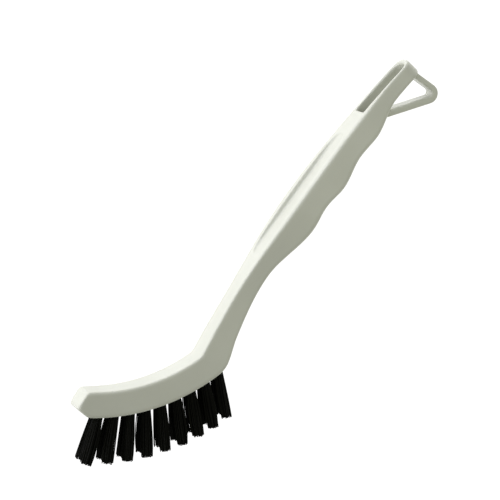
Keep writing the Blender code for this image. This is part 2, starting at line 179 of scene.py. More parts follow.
# %% [markdown]
# The handle is one injection moulding: nose, head, elbow, neck, grip and tail. A block could be
# carved by subdivision, but the handle's measures are known along its length. So it is drawn like
# a boat, from stations along one line, the back edge. That line is three arcs, one after another:
# a hollow one along the head, a tight one at the elbow, and a long swelling one to the tail.

# %% Back edge of the handle
HEAD_LENGTH = 0.0536
HEAD_BACK_RADIUS = 0.0812
ELBOW_RADIUS = 0.007
ELBOW_BEND = math.radians(28.0)
HANDLE_LENGTH = 0.1637
HANDLE_BEND = math.radians(15.26)

HEAD_BEND = HEAD_LENGTH / HEAD_BACK_RADIUS
ELBOW_LENGTH = ELBOW_RADIUS * ELBOW_BEND
ELBOW_END = HEAD_LENGTH + ELBOW_LENGTH
TAIL_END = ELBOW_END + HANDLE_LENGTH
BACK_ARCS = [(HEAD_LENGTH, HEAD_BEND), (ELBOW_LENGTH, ELBOW_BEND), (HANDLE_LENGTH, -HANDLE_BEND)]


def back_edge(place):
    """Point and slope on the back edge, at a distance along it from the nose's upper corner."""
    x, y, slope = 0.0, 0.0, HANDLE_BEND - ELBOW_BEND - HEAD_BEND
    for number, (length, bend) in enumerate(BACK_ARCS):
        run = place if number == len(BACK_ARCS) - 1 else min(place, length)
        end_slope = slope + bend / length * run
        x += (math.sin(end_slope) - math.sin(slope)) * length / bend
        y -= (math.cos(end_slope) - math.cos(slope)) * length / bend
        slope = end_slope
        place -= run
        if place <= 0:
            break
    return Vector((x, y, 0)), slope


def below_back(place, depth, offset=0.0):
    """Point at a depth square to the back edge, and at an offset across the handle."""
    point, slope = back_edge(place)
    return point + depth * Vector((math.sin(slope), -math.cos(slope), 0)) + offset * ACROSS


print("back edge in mm:", round(1000 * TAIL_END, 1))

# %% [markdown]
# The handle's thickness and width were measured at a few stations, and change smoothly between
# them. Straight lines would leave kinks there, and a plain spline would swing past the measured
# values. This curve passes through each value and never overshoots between two of them, so a flat
# stretch stays flat and a finger swell keeps its height.

# %% Smooth curve through measured values


def smooth_curve(knots):
    """A function through (place, value) knots that eases between them and never overshoots."""
    places = np.array([place for place, _ in knots])
    values = np.array([value for _, value in knots])
    gaps = np.diff(places)
    slopes = np.diff(values) / gaps
    tangents = np.zeros(len(knots))
    for i in range(1, len(knots) - 1):
        if slopes[i - 1] * slopes[i] > 0:
            before = gaps[i - 1] + 2 * gaps[i]
            after = 2 * gaps[i - 1] + gaps[i]
            tangents[i] = (before + after) / (before / slopes[i - 1] + after / slopes[i])

    def value_at(place):
        i = int(np.clip(np.searchsorted(places, place) - 1, 0, len(gaps) - 1))
        t = float(np.clip((place - places[i]) / gaps[i], 0, 1))
        ease = t * t * (3 - 2 * t)
        start_pull = t * (1 - t) ** 2 * gaps[i] * tangents[i]
        end_pull = t * t * (1 - t) * gaps[i] * tangents[i + 1]
        return float(values[i] + (values[i + 1] - values[i]) * ease + start_pull - end_pull)

    return value_at


print("a quarter of the way from 0 to 1:", smooth_curve([(0.0, 0.0), (1.0, 1.0)])(0.25))

# %% [markdown]
# The grip has three swells with hollows between them, about a finger's width apart, and a broad
# palm behind them. The neck narrows to a waist before it, and the tail is thin and flat. All
# these measures have names, so that a change in one place moves the rest along with it.

# %% Thickness and width along the handle
NECK_START = ELBOW_END + 0.0140
NECK_MIDDLE = ELBOW_END + 0.0290
WAIST = ELBOW_END + 0.0447
FIRST_SWELL = WAIST + 0.0301
FIRST_HOLLOW = FIRST_SWELL + 0.0120
SECOND_SWELL = FIRST_HOLLOW + 0.0120
SECOND_HOLLOW = SECOND_SWELL + 0.0165
THIRD_SWELL = SECOND_HOLLOW + 0.0112
TAIL_START = THIRD_SWELL + 0.0200
PALM_START = FIRST_SWELL + 0.0040
PALM_END = PALM_START + 0.0090
HEAD_THICKNESS, HEEL_THICKNESS, NECK_THICKNESS, WAIST_THICKNESS = 0.0121, 0.0131, 0.0109, 0.0085
SWELL_THICKNESS = (0.0134, 0.0137, 0.0120)
HOLLOW_THICKNESS = (0.0123, 0.0114)
TAIL_THICKNESS, TAIL_END_THICKNESS = 0.0077, 0.0076
HEAD_WIDTH, NECK_WIDTH, PALM_WIDTH, SHOULDER_WIDTH = 0.0179, 0.0160, 0.0264, 0.0203
TAIL_WIDTH = 0.0159
TAIL_ROUND_CENTRE = TAIL_END - TAIL_WIDTH / 2

thickness_at = smooth_curve([
    (0.0, HEAD_THICKNESS),
    (HEAD_LENGTH, HEAD_THICKNESS),
    (ELBOW_END, HEEL_THICKNESS),
    (NECK_START, NECK_THICKNESS),
    (WAIST, WAIST_THICKNESS),
    (FIRST_SWELL, SWELL_THICKNESS[0]),
    (FIRST_HOLLOW, HOLLOW_THICKNESS[0]),
    (SECOND_SWELL, SWELL_THICKNESS[1]),
    (SECOND_HOLLOW, HOLLOW_THICKNESS[1]),
    (THIRD_SWELL, SWELL_THICKNESS[2]),
    (TAIL_START, TAIL_THICKNESS),
    (TAIL_END, TAIL_END_THICKNESS),
])
width_at = smooth_curve([
    (0.0, HEAD_WIDTH),
    (HEAD_LENGTH, HEAD_WIDTH),
    (NECK_MIDDLE, NECK_WIDTH),
    (PALM_START, PALM_WIDTH),
    (PALM_END, PALM_WIDTH),
    (THIRD_SWELL, SHOULDER_WIDTH),
    (TAIL_ROUND_CENTRE, TAIL_WIDTH),
])
palm_and_tail = [round(1000 * width_at(place), 1) for place in (PALM_START, TAIL_END)]
print("width at palm and tail in mm:", palm_and_tail)

# %% [markdown]
# A station is a rounded rectangle: four straight flats between four quarter circles. A bevel of
# the finished handle would do the same, but not with a radius that changes along it: the edges
# are a little rounder where the hand holds them than on the head and the tail. Each flat has a
# few points of its own, so that the faces between two stations stay small and nearly square.

# %% One station
HEAD_EDGE, GRIP_EDGE, TAIL_EDGE = 0.0010, 0.0016, 0.0009
LARGEST_CORNER = 0.45
CORNER_STEPS = 8
FLAT_STEPS = 8

edge_radius_at = smooth_curve([
    (0.0, HEAD_EDGE),
    (WAIST, HEAD_EDGE),
    (PALM_START, GRIP_EDGE),
    (THIRD_SWELL, GRIP_EDGE),
    (TAIL_START, TAIL_EDGE),
    (TAIL_END, TAIL_EDGE),
])


def station(top, bottom, width, radius):
    """A rounded rectangle as (depth, offset across), from one side of its top and round."""
    radius = min(radius, LARGEST_CORNER * (bottom - top), LARGEST_CORNER * width)
    half = width / 2
    corners = [
        (top + radius, half - radius, 180),
        (bottom - radius, half - radius, 90),
        (bottom - radius, radius - half, 0),
        (top + radius, radius - half, -90),
    ]
    points = []
    for number, (depth, offset, start) in enumerate(corners):
        arc = []
        for step in range(CORNER_STEPS + 1):
            angle = math.radians(start - 90 * step / CORNER_STEPS)
            arc.append((depth + radius * math.cos(angle), offset + radius * math.sin(angle)))
        next_depth, next_offset, next_start = corners[(number + 1) % 4]
        angle = math.radians(next_start)
        target = (next_depth + radius * math.cos(angle), next_offset + radius * math.sin(angle))
        points += arc
        for step in range(1, FLAT_STEPS):
            share = step / FLAT_STEPS
            points.append(tuple(a + (b - a) * share for a, b in zip(arc[-1], target)))
    return points


def ring_at(place, section):
    return [below_back(place, depth, offset) for depth, offset in section]


def body_ring(place):
    return ring_at(place, station(0.0, thickness_at(place), width_at(place), edge_radius_at(place)))


print("points in a station:", len(body_ring(0.0)))

# %% [markdown]
# The nose ends in two bevels that meet in a blunt point, and the tail's end is swept round along a
# squarish oval. Both could be cut with other shapes, but they are easier as more stations of the
# same number of points: near the nose the stations shrink, and at the tail they fan out.

# %% Stations of the nose and the tail end
NOSE_REACH = 0.0033
NOSE_UNDERCUT = 0.0011
NOSE_DEPTH = 0.0077
NOSE_TIP = 0.0014
NOSE_CORNER = 0.0015
NOSE_SOFTNESS = 0.0008
END_SQUARENESS = 3.0


def soft_ramp(distance, softness):
    """Zero before a corner and the distance past it, with the corner itself rounded."""
    return (distance + math.hypot(distance, softness)) / 2


def round_off(distance, radius):
    """How far a rounded corner falls back at a distance from its end."""
    reach = max(radius - max(distance, 0.0), 0.0)
    return radius - math.sqrt(radius**2 - reach**2)


def nose_ring(place):
    upper_fall = (NOSE_DEPTH - NOSE_TIP / 2) / NOSE_REACH
    lower_rise = (HEAD_THICKNESS - NOSE_DEPTH - NOSE_TIP / 2) / (NOSE_REACH + NOSE_UNDERCUT)
    top = upper_fall * soft_ramp(-place, NOSE_SOFTNESS)
    bottom = HEAD_THICKNESS - lower_rise * soft_ramp(NOSE_UNDERCUT - place, NOSE_SOFTNESS)
    width = HEAD_WIDTH - 2 * round_off(place + NOSE_REACH, NOSE_CORNER)
    return ring_at(place, station(top, bottom, width, HEAD_EDGE))


def oval_end(turn):
    """How far forward and across a point lies on a squarish round end, as shares of its radius."""
    power = 2 / END_SQUARENESS
    return abs(math.sin(turn)) ** power, math.copysign(abs(math.cos(turn)) ** power, math.cos(turn))


def tail_ring(turn):
    _, slope = back_edge(TAIL_ROUND_CENTRE)
    forward, across = oval_end(turn)
    ahead = Vector((math.cos(slope), math.sin(slope), 0))
    section = station(0.0, thickness_at(TAIL_ROUND_CENTRE), TAIL_WIDTH, TAIL_EDGE)
    return [
        below_back(TAIL_ROUND_CENTRE, depth, offset * across) + abs(offset) * forward * ahead
        for depth, offset in section
    ]


print("points at the nose and the tail end:", len(nose_ring(0.0)), len(tail_ring(0.0)))

# %% [markdown]
# One loft joins all the stations, each to the next, and closes the nose with a face. The tail's
# last station folds flat on itself, so it needs none. The moulding is then as long as the solid
# in the frame, and the difference between their lowest corners says where it has to go.

# %% Loft from nose to tail
NOSE_STEP = 0.0003
BODY_STEP = 0.0008
END_STEPS = 24
WELD_DISTANCE = 1e-7


def loft(rings, cover_last=True):
    """A mesh through rings of as many points each, with a face over its first and last."""
    made = bmesh.new()
    loops = [[made.verts.new(point) for point in ring] for ring in rings]
    count = len(loops[0])
    for near, far in zip(loops, loops[1:]):
        for i in range(count):
            made.faces.new((near[i], near[(i + 1) % count], far[(i + 1) % count], far[i]))
    made.faces.new(loops[0])
    if cover_last:
        made.faces.new(loops[-1])
    bmesh.ops.remove_doubles(made, verts=made.verts, dist=WELD_DISTANCE)
    bmesh.ops.recalc_face_normals(made, faces=made.faces)
    return made


def add_object(name, made):
    mesh = bpy.data.meshes.new(name)
    made.to_mesh(mesh)
    made.free()
    obj = bpy.data.objects.new(name, mesh)
    bpy.context.scene.collection.objects.link(obj)
    return obj


nose_end = NOSE_UNDERCUT + 3 * NOSE_SOFTNESS
rings = [nose_ring(place) for place in np.arange(-NOSE_REACH, nose_end, NOSE_STEP).tolist()]
rings += [body_ring(place) for place in np.arange(nose_end, TAIL_ROUND_CENTRE, BODY_STEP).tolist()]
rings += [body_ring(TAIL_ROUND_CENTRE)]
rings += [tail_ring(math.pi / 2 * step / END_STEPS) for step in range(1, END_STEPS + 1)]
ring_low = Vector(min(point[axis] for ring in rings for point in ring) for axis in range(3))
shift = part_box("handle")[0] - ring_low
to_frame = Matrix.Translation(shift)
handle = add_object("moulded_handle", loft(rings, cover_last=False))
print("stations:", len(rings), "shift to the frame in mm:", [round(1000 * v, 2) for v in shift])

# %% [markdown]
# The thumb rests in a shallow oval with steep walls in the back of the grip. Such a hollow could
# be sculpted, but a mould is cut with a tool, and so is this one: a boolean takes away a solid
# whose own stations grow and shrink along the handle.

# %% Thumb rest
REST_START = 0.0505
REST_LENGTH = 0.0685
REST_WIDTH = 0.0155
REST_DEPTH = 0.0021
REST_WALL = 0.0011
REST_SQUARENESS = 8
REST_STEPS = 60


def rest_rings():
    """The tool that cuts the thumb rest: a long oval, deepest in the middle of its length."""
    rings = []
    for step in range(1, REST_STEPS):
        way = -math.cos(math.pi * step / REST_STEPS)
        half = REST_WIDTH / 2 * (1 - way**REST_SQUARENESS) ** 0.5
        depth = REST_DEPTH * (1 - way**2) ** 0.5
        brim = half + REST_WALL
        floor = half - min(REST_WALL * depth / REST_DEPTH, half / 2)
        section = [(-REST_DEPTH, -brim), (-REST_DEPTH, brim), (depth, floor), (depth, -floor)]
        rings.append(ring_at(ELBOW_END + REST_START + REST_LENGTH * (1 + way) / 2, section))
    return rings


rest = add_object("rest", loft(rest_rings()))
print("thumb rest in mm:", *(round(1000 * v, 1) for v in (REST_LENGTH, REST_WIDTH, REST_DEPTH)))

# %% [markdown]
# The slot goes right through the tail. Its outline is the tail's own, set in by the thickness of
# the walls, so it follows the round end. On the back its rim is a quarter round, which a bevel
# could give too, but the tool has it already: its outline flares out in steps as it rises.

# %% Tail slot
SLOT_LENGTH = 0.0293
SIDE_WALL = 0.0018
END_WALL = 0.0025
SLOT_CORNER = 0.0008
SLOT_RIM = 0.0009
RIM_STEPS = 5
TOOL_RISE = TAIL_THICKNESS
TOOL_DROP = 3 * TAIL_THICKNESS

tail_tip = back_edge(TAIL_END)[0]
slot_end = tail_tip.x - END_WALL
slot_start = slot_end - SLOT_LENGTH


def slot_outline(flare):
    """The slot's outline as (x, z), set out by a flare at its sides and its far end."""
    half = TAIL_WIDTH / 2 - SIDE_WALL + flare
    outline = []
    for step in range(2 * END_STEPS + 1):
        forward, across = oval_end(math.pi - math.pi / 2 * step / END_STEPS)
        outline.append((slot_end + flare - half + half * forward, half * across))
    for side in (1, -1):
        for step in range(CORNER_STEPS + 1):
            share = step / CORNER_STEPS
            angle = math.pi / 2 * (share if side > 0 else 1 - share)
            x = slot_start + SLOT_CORNER * (1 - math.sin(angle))
            outline.append((x, side * (half - SLOT_CORNER + SLOT_CORNER * math.cos(angle))))
    return outline


def slot_rings():
    """The tool that cuts the slot: it widens to the back in a quarter round."""
    rings = []
    for step in range(RIM_STEPS + 1):
        turn = math.pi / 2 * step / RIM_STEPS
        depth, flare = SLOT_RIM * math.sin(turn), SLOT_RIM * (1 - math.cos(math.pi / 2 - turn))
        rings.append([Vector((x, tail_tip.y - depth, z)) for x, z in slot_outline(flare)])
    above = [point + Vector((0, TOOL_RISE, 0)) for point in rings[0]]
    below = [point - Vector((0, TOOL_DROP, 0)) for point in rings[-1]]
    return [above] + rings + [below]


slot = add_object("slot", loft(slot_rings()))
print("slot in mm:", round(1000 * SLOT_LENGTH, 1), "by", round(1000 * (TAIL_WIDTH - 2 * SIDE_WALL), 1))

# %% [markdown]
# The hanging loop is a flat strap on two straight legs and a round corner, moulded on under the
# slot. A curve with a bevel profile would do for a round wire. The strap gets thicker towards the
# grip, so it is one more loft, of small stations along the middle line of the legs.

# %% Hanging loop
LOOP_DROP = 0.0240
LOOP_LEAN = 0.0030
LOOP_ROOT = 0.0050
LOOP_END_THICKNESS, LOOP_GRIP_THICKNESS = 0.0028, 0.0035
LOOP_WIDTH = 0.0095
LOOP_CORNER = 0.0032
LOOP_EDGE = 0.0008


def loop_path():
    """Middle line of the strap, from inside the tail's end, round the corner, into the grip."""
    corner = tail_tip + Vector((0, -LOOP_DROP, 0))
    end_root = tail_tip + Vector((-LOOP_LEAN, -LOOP_ROOT, 0))
    grip_root = Vector((slot_start - LOOP_GRIP_THICKNESS / 2, tail_tip.y - LOOP_ROOT, 0))
    to_end = (end_root - corner).normalized()
    to_grip = (grip_root - corner).normalized()
    half_angle = to_end.angle(to_grip) / 2
    centre = corner + (to_end + to_grip).normalized() * LOOP_CORNER / math.sin(half_angle)
    first = corner + to_end * LOOP_CORNER / math.tan(half_angle) - centre
    sweep = math.pi - 2 * half_angle
    turns = [-sweep * step / END_STEPS for step in range(END_STEPS + 1)]
    return [end_root] + [centre + Matrix.Rotation(turn, 3, "Z") @ first for turn in turns] + [grip_root]


def strap_rings():
    path = loop_path()
    rings = []
    for i, point in enumerate(path):
        share = i / (len(path) - 1)
        half = (LOOP_END_THICKNESS + (LOOP_GRIP_THICKNESS - LOOP_END_THICKNESS) * share) / 2
        ahead = (path[min(i + 1, len(path) - 1)] - path[max(i - 1, 0)]).normalized()
        outward = ACROSS.cross(ahead)
        section = station(-half, half, LOOP_WIDTH, LOOP_EDGE)
        rings.append([point + depth * outward + offset * ACROSS for depth, offset in section])
    return rings


strap = add_object("strap", loft(strap_rings()))
print("strap in mm:", round(1000 * LOOP_WIDTH, 1), "wide, stations:", len(loop_path()))

# %% [markdown]
# A moulding has no knife edges, since molten plastic doesn't fill a sharp corner. A bevel can't
# follow the ragged faces that booleans leave. So the shapes are joined, turned into one even skin
# with a voxel remesh, and smoothed a little, which softens every rim and leaves a small fillet
# where the strap runs into the tail.

# %% One skin
SKIN_SIZE = 0.00042
SKIN_SMOOTHING = 6
SMOOTHING_FACTOR = 0.5


def apply_modifiers(obj):
    graph = bpy.context.evaluated_depsgraph_get()
    mesh = bpy.data.meshes.new_from_object(obj.evaluated_get(graph))
    before = obj.data
    obj.modifiers.clear()
    obj.data = mesh
    bpy.data.meshes.remove(before)


def combine(target, operation, other):
    """Joins or cuts the target with another object, which is then removed."""
    modifier = target.modifiers.new(operation.lower(), "BOOLEAN")
    modifier.operation = operation
    modifier.solver = "EXACT"
    modifier.object = other
    apply_modifiers(target)
    bpy.data.objects.remove(other)


combine(handle, "DIFFERENCE", rest)
combine(handle, "DIFFERENCE", slot)
combine(handle, "UNION", strap)
handle.data.transform(to_frame)
remesh = handle.modifiers.new("skin", "REMESH")
remesh.mode = "VOXEL"
remesh.voxel_size = SKIN_SIZE
soften = handle.modifiers.new("soften", "SMOOTH")
soften.factor = SMOOTHING_FACTOR
soften.iterations = SKIN_SMOOTHING
apply_modifiers(handle)
print("faces of the skin:", len(handle.data.polygons))

# %% [markdown]
# Each tuft sits in a blind hole that was drilled into the head. The holes could be part of the
# skin, but the smoothing would blunt their crisp rims, so they are cut after it. The frame says
# where they are: an anchor stands across each hole, and its longest, middle and shortest sides
# are the wire's direction, the hole's direction and the direction in which the tuft is folded.

# %% Where the holes are
ANCHOR_MIDDLE = 0.0046
HOLES = [f"c{column}_r{row}" for column in range(1, 10) for row in (1, 2)]


def vertices_of(node):
    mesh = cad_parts[node].data
    points = np.empty(3 * len(mesh.vertices))
    mesh.vertices.foreach_get("co", points)
    return points.reshape(-1, 3)


def hole_frame(name):
    """A frame at the hole's mouth: +X along the wire, +Z out of the hole along the tuft."""
    anchor = vertices_of(f"anchor_{name}")
    low, high = anchor.min(axis=0), anchor.max(axis=0)
    centred = anchor - anchor.mean(axis=0)
    _, _, sides = np.linalg.svd(centred, full_matrices=False)
    wire, out = Vector(sides[0]), Vector(sides[1])
    tips = Vector(vertices_of(f"tuft_{name}").mean(axis=0))
    middle = Vector((low + high) / 2)
    if out.dot(tips - middle) < 0:
        out = -out
    mouth = Matrix((wire, out.cross(wire), out)).transposed().to_4x4()
    mouth.translation = middle + out * ANCHOR_MIDDLE
    return mouth


hole_frames = {name: hole_frame(name) for name in HOLES}
print("first hole's mouth in mm:", [round(1000 * v, 1) for v in hole_frames[HOLES[0]].translation])

# %% [markdown]
# One mesh holds all the drills, so a single boolean makes all the holes. Then the faces are
# shaded smooth, apart from the holes' rims, and the moulding takes the place of the plain solid.

# %% Holes
HOLE_RADIUS = 0.0025
HOLE_DEPTH = 0.0070
HOLE_SIDES = 32
RIM_CREASE = math.radians(40)

drill = bmesh.new()
for name in HOLES:
    bmesh.ops.create_cone(
        drill, cap_ends=True, segments=HOLE_SIDES, radius1=HOLE_RADIUS, radius2=HOLE_RADIUS,
        depth=2 * HOLE_DEPTH, matrix=hole_frames[name],
    )
combine(handle, "DIFFERENCE", add_object("drill", drill))
handle.data.shade_smooth()
handle.data.set_sharp_from_angle(angle=RIM_CREASE)
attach(handle, "root")
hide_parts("handle")
print("holes:", len(HOLES), "faces:", len(handle.data.polygons))

# %% [markdown]
# A tuft is a bunch of nylon filaments, folded in half round its anchor, so that both ends of each
# one stand out of the hole. Hair particles would be quick, but the model has to leave Blender as
# meshes, so each filament is a path of its own. The filaments stand in a sunflower's pattern,
# which packs a round hole evenly, spread a little towards their ends, bend a little, and were
# trimmed to nearly one length. Use has bowed the outer ones, more on one side of a tuft than on
# the other, so that some neighbours touch and hide the slit between them.

# %% Path of a filament
FILAMENTS = 32
FILAMENT_RADIUS = 0.00023
ROOT_SCATTER = 0.00004
TUFT_RADIUS = 0.0022
TUFT_SPREAD = 1.20
TIP_RAGGED = 0.0006
TIP_WANDER = 0.00022
BEND = 0.0005
STRAY_SHARE = 0.10
STRAY_BEND = 3.0
BOW_SHAPE = 2.6
FOLD_DROP = 0.0009
FOLD_INSET = 0.0003
FOLD_REACH = 0.0003
FOLD_NESTING = 0.4
FOLD_STEPS = 6
GOLDEN_TURN = math.pi * (3 - math.sqrt(5))
STAND_SHARES = (0.0, 0.12, 0.28, 0.46, 0.64, 0.82, 1.0)


def filament_roots(rng):
    """Where filaments cross the mouth of the hole, on one side of the fold."""
    roots = []
    reach = TUFT_RADIUS - FILAMENT_RADIUS
    for i in range(2 * FILAMENTS):
        distance = reach * math.sqrt((i + 0.5) / (2 * FILAMENTS))
        x = distance * math.cos(i * GOLDEN_TURN)
        y = distance * math.sin(i * GOLDEN_TURN)
        if y > 0:
            roots.append((x + rng.normal(0, ROOT_SCATTER), y))
    return roots


def standing_half(root, length, heel, bows, rng):
    """Points of one standing half, from the mouth of the hole to the trimmed end."""
    end = length + rng.uniform(-TIP_RAGGED, TIP_RAGGED)
    wander = rng.normal(0, TIP_WANDER, 2)
    bend = rng.normal(0, BEND / 2, 2) * (STRAY_BEND if rng.random() < STRAY_SHARE else 1)
    place = float(np.dot(root, heel)) / TUFT_RADIUS
    bow = (bows[1] if place > 0 else bows[0]) * place * BOW_SHAPE
    points = []
    for share in STAND_SHARES:
        flat = root * (1 + (TUFT_SPREAD - 1) * share) + share * wander
        flat = flat + share * (1 - share) * 2 * bend + share * (1 - share**2) * bow * heel
        points.append((*flat.tolist(), end * share))
    return points


def filament_path(x, y, length, heel, bows, rng):
    """One filament: down one side of the anchor, under it in a half turn, and up the other."""
    first = standing_half(np.array((x, y)), length, heel, bows, rng)
    second = standing_half(np.array((x, -y)), length, heel, bows, rng)
    low = ANCHOR_MIDDLE + FOLD_DROP
    squeeze = min(1.0, (TUFT_RADIUS - FOLD_INSET) / y)
    fold = []
    for step in range(FOLD_STEPS + 1):
        turn = math.pi * step / FOLD_STEPS
        depth = low + math.sin(turn) * (FOLD_REACH + FOLD_NESTING * y)
        fold.append((x, y * squeeze * math.cos(turn), -depth))
    return first[::-1] + fold + second


print("filaments in a tuft:", len(filament_roots(np.random.default_rng(0))))

# %% [markdown]
# A filament is a thin round thread. A curve object with a round bevel would show the same, but
# hundreds of them are slow to turn into meshes. So each path is swept in one go with arrays: a
# ring of points square to the path at each of its points, then faces between the rings.

# %% Tube round a path
FILAMENT_SIDES = 6


def tube(path, radius, sides):
    """Rings round a path that never runs along X, as one array of points."""
    path = np.array(path)
    ahead = np.gradient(path, axis=0)
    ahead /= np.linalg.norm(ahead, axis=1)[:, None]
    side = np.array([1.0, 0.0, 0.0]) - ahead * ahead[:, :1]
    side /= np.linalg.norm(side, axis=1)[:, None]
    other = np.cross(ahead, side)
    angles = (2 * np.pi * np.arange(sides) / sides)[None, :, None]
    ring = np.cos(angles) * side[:, None, :] + np.sin(angles) * other[:, None, :]
    return (path[:, None, :] + radius * ring).reshape(-1, 3)


def tube_faces(count, sides, first):
    """Faces of a closed tube of some rings, whose points start at a number."""
    faces = []
    for i in range(count - 1):
        for k in range(sides):
            a, b = first + i * sides + k, first + i * sides + (k + 1) % sides
            faces.append((a, b, b + sides, a + sides))
    faces.append(tuple(first + k for k in reversed(range(sides))))
    faces.append(tuple(first + (count - 1) * sides + k for k in range(sides)))
    return faces


print("faces of a short tube:", len(tube_faces(2, FILAMENT_SIDES, 0)))

# %% [markdown]
# Each tuft is one mesh of all its filaments, made in the frame of its hole and then moved there.
# How high it stands comes from the solid it replaces. The bows differ from column to column: each
# has one on the side of the nose and one on the side of the heel.

# %% Tufts
BOWS = {
    1: (0.0000, 0.0009), 2: (0.0009, 0.0001), 3: (0.0001, 0.0004),
    4: (0.0004, 0.0005), 5: (0.0005, 0.0003), 6: (0.0005, 0.0010),
    7: (0.0010, 0.0004), 8: (0.0005, 0.0006), 9: (0.0006, 0.0002),
}
END_CREASE = math.radians(70)


def towards_heel(name):
    """The direction along the head towards its heel, in a hole's own frame."""
    across = hole_frames[name].to_3x3().inverted() @ ACROSS
    heel = Vector((across.y, -across.x, 0)).normalized()
    if (hole_frames[name].to_3x3() @ heel).x < 0:
        heel = -heel
    return np.array(heel[:2])


def tuft_length(name):
    """Mean height of the strands' ends over the hole's mouth, from the frame."""
    to_hole = np.array(hole_frames[name].inverted())
    points = vertices_of(f"tuft_{name}")
    heights = points @ to_hole[2, :3] + to_hole[2, 3]
    return float(heights[heights > heights.max() / 2].mean())


def make_tuft(name, seed):
    """All filaments of one tuft. Its name holds the number of its column, after the letter c."""
    rng = np.random.default_rng(seed)
    length = tuft_length(name)
    heel = towards_heel(name)
    bows = BOWS[int(name[1])]
    points, faces = [], []
    for x, y in filament_roots(rng):
        path = filament_path(x, y, length, heel, bows, rng)
        faces += tube_faces(len(path), FILAMENT_SIDES, sum(len(p) for p in points))
        points.append(tube(path, FILAMENT_RADIUS, FILAMENT_SIDES))
    mesh = bpy.data.meshes.new(f"bristles_{name}")
    mesh.from_pydata(np.concatenate(points).tolist(), [], faces)
    mesh.transform(hole_frames[name])
    mesh.shade_smooth()
    mesh.set_sharp_from_angle(angle=END_CREASE)
    tuft = bpy.data.objects.new(f"bristles_{name}", mesh)
    bpy.context.scene.collection.objects.link(tuft)
    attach(tuft, "root")
    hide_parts(f"tuft_{name}")
    return tuft


tufts = [make_tuft(name, seed) for seed, name in enumerate(HOLES)]
print("tufts:", len(tufts), "faces:", sum(len(tuft.data.polygons) for tuft in tufts))

# %% [markdown]
# Next come the finishes. Nodes can be added by hand in the shader editor, and each step in code
# does the same. Two helpers keep that short: one starts a group of nodes with its own inputs and
# outputs, and one adds a node with its settings, its values and what is linked into it.

# %% Helpers for nodes


def new_group(name, inputs, outputs):
    group = bpy.data.node_groups.new(name, "ShaderNodeTree")
    for socket, kind, value in inputs:
        made = group.interface.new_socket(socket, in_out="INPUT", socket_type=kind)
        if value is not None:
            made.default_value = value
    for socket, kind in outputs:
        group.interface.new_socket(socket, in_out="OUTPUT", socket_type=kind)
    return group, group.nodes.new("NodeGroupInput"), group.nodes.new("NodeGroupOutput")


def add_node(tree, kind, values=None, links=None, **settings):
    """A node with its settings, its socket values and what is linked into it."""
    node = tree.nodes.new(kind)
    for key, value in settings.items():
        setattr(node, key, value)
    for key, value in (values or {}).items():
        node.inputs[key].default_value = value
    for key, output in (links or {}).items():
        tree.links.new(output, node.inputs[key])
    return node


print("helpers:", new_group.__name__, add_node.__name__)

# %% [markdown]
# All three finishes share one effect: a fine, even unevenness, which is the grain of a mould's
# steel on the plastic and the drawing marks on wire and nylon. An image would show the same spot
# again and again, and noise doesn't. It is a node group, so that each material sets its own scale
# and stretch. It gives out a height, for the bump, and a slow tone and a fine tone, for the
# colour and the roughness.

# %% Fine grain


def grain_group():
    group, given, out = new_group(
        "fine grain",
        [("Vector", "NodeSocketVector", None), ("Grain Scale", "NodeSocketFloat", 2500.0),
         ("Cloud Scale", "NodeSocketFloat", 60.0), ("Stretch", "NodeSocketVector", (1, 1, 1))],
        [("Height", "NodeSocketFloat"), ("Clouds", "NodeSocketFloat"), ("Speckle", "NodeSocketFloat")],
    )
    stretched = add_node(group, "ShaderNodeVectorMath", operation="MULTIPLY",
                         links={0: given.outputs["Vector"], 1: given.outputs["Stretch"]})
    fine = add_node(group, "ShaderNodeTexNoise", {"Detail": 3.0, "Roughness": 0.6},
                    {"Vector": stretched.outputs[0], "Scale": given.outputs["Grain Scale"]})
    slow = add_node(group, "ShaderNodeTexNoise", {"Detail": 4.0, "Roughness": 0.5},
                    {"Vector": stretched.outputs[0], "Scale": given.outputs["Cloud Scale"]})
    speckle = add_node(group, "ShaderNodeMapRange", {"From Min": 0.35, "From Max": 0.65},
                       {"Value": fine.outputs["Fac"]})
    clouds = add_node(group, "ShaderNodeMapRange", {"From Min": 0.3, "From Max": 0.7},
                      {"Value": slow.outputs["Fac"]})
    group.links.new(fine.outputs["Fac"], out.inputs["Height"])
    group.links.new(clouds.outputs["Result"], out.inputs["Clouds"])
    group.links.new(speckle.outputs["Result"], out.inputs["Speckle"])
    return group


FINE_GRAIN = grain_group()
print("group:", FINE_GRAIN.name, "nodes:", len(FINE_GRAIN.nodes))

# %% [markdown]
# Use rubs the edges that stand out, where hands and tables touch them. Hollows get painted
# shade: their colour is darkened where the object itself hides the light. Both could be painted
# on by hand. As node groups they find their own places: the first asks how sharply the surface
# bends outwards, and the second how much of the view from a spot the object itself hides.

# %% Rubbed edges and painted shade in hollows


def rub_group():
    """Edges that stand out, broken up by another mask."""
    group, given, out = new_group(
        "rubbed edges",
        [("Breakup", "NodeSocketFloat", 0.5), ("Reach", "NodeSocketFloat", 0.05)],
        [("Mask", "NodeSocketFloat")],
    )
    surface = group.nodes.new("ShaderNodeNewGeometry")
    top = add_node(group, "ShaderNodeMath", {0: 0.5}, {1: given.outputs["Reach"]}, operation="ADD")
    edge = add_node(group, "ShaderNodeMapRange", {"From Min": 0.5},
                    {"Value": surface.outputs["Pointiness"], "From Max": top.outputs[0]})
    broken = add_node(group, "ShaderNodeMath", operation="MULTIPLY",
                      links={0: edge.outputs["Result"], 1: given.outputs["Breakup"]})
    group.links.new(broken.outputs[0], out.inputs["Mask"])
    return group


